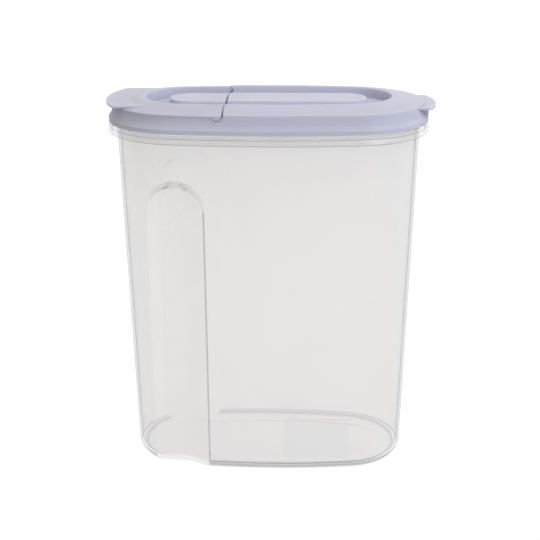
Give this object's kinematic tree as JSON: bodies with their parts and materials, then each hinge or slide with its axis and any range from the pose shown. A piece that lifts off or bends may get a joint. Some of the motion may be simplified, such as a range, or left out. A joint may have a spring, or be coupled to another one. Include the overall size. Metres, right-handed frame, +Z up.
{
  "type": "cereal keeper",
  "caption": "Oval plastic cereal keeper with a tall tapered tub, finger grips, a snap-over lid and a hinged pour flap",
  "frame": {"origin": "Middle of the tub's footprint on the surface it stands on", "axes": "+X runs along the length to the pull tab, +Y to the back, +Z up; the pour flap and its lip are at -X"},
  "size_m": [0.2037, 0.1054, 0.2425],
  "materials": {
    "tub_plastic": "Natural translucent polypropylene with a smooth satin surface",
    "lid_plastic": "Pale lilac polypropylene, fine satin"
  },
  "bodies": {
    "tub": {"tub": "tub_plastic"},
    "lid": {"lid": "lid_plastic"},
    "flap": {"flap": "lid_plastic"}
  },
  "joints": [
    {"name": "lid_lift", "type": "slide", "parent": "tub", "child": "lid", "axis": [0, 0, 1], "range_m": [0, 0.06]},
    {"name": "flap_hinge", "type": "hinge", "parent": "lid", "child": "flap", "pos_m": [-0.02865, 0, 0.23875], "axis": [0, 1, 0], "range_deg": [0, 95]}
  ]
}
